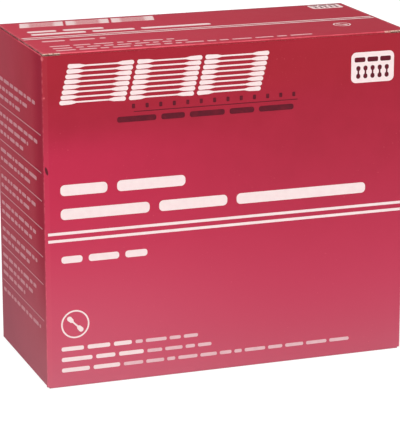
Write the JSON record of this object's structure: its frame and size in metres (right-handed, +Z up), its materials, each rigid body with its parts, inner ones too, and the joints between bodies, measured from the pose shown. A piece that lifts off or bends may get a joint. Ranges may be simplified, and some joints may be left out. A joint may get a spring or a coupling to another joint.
{
  "type": "cotton swab box",
  "caption": "Wide, shallow tuck-top paperboard box with a hinged lid, a tuck flap locked by end slits, dust flaps, and clear bags of wooden cotton-tipped applicators inside.",
  "frame": {"origin": "centre of the bottom face", "axes": "+Z up, +X to the right along the wide front panel, +Y to the back, so the front panel faces -Y"},
  "size_m": [0.2161, 0.0961, 0.1905],
  "materials": {
    "printed_board": "crimson print with white rules on white-faced board, light satin varnish, raw tan cut edges",
    "film": "thin clear bag film, crinkled, with a sealed fin",
    "birch": "plain unfinished birch",
    "cotton": "wound white cotton"
  },
  "bodies": {
    "carton": {"carton": "printed_board", "bag_1": "film", "bag_2": "film", "bag_3": "film", "bag_4": "film", "bag_5": "film", "bag_6": "film", "bag_7": "film", "bag_8": "film", "bag_9": "film", "bag_10": "film", "sticks_1": "birch", "sticks_2": "birch", "sticks_3": "birch", "sticks_4": "birch", "sticks_5": "birch", "sticks_6": "birch", "sticks_7": "birch", "sticks_8": "birch", "sticks_9": "birch", "sticks_10": "birch", "tips_1": "cotton", "tips_2": "cotton", "tips_3": "cotton", "tips_4": "cotton", "tips_5": "cotton", "tips_6": "cotton", "tips_7": "cotton", "tips_8": "cotton", "tips_9": "cotton", "tips_10": "cotton"},
    "lid": {"lid": "printed_board"}
  },
  "joints": [
    {"name": "lid_fold", "type": "hinge", "parent": "carton", "child": "lid", "pos_m": [0, 0.0477, 0.1902], "axis": [-1, 0, 0], "range_deg": [0, 180]}
  ]
}
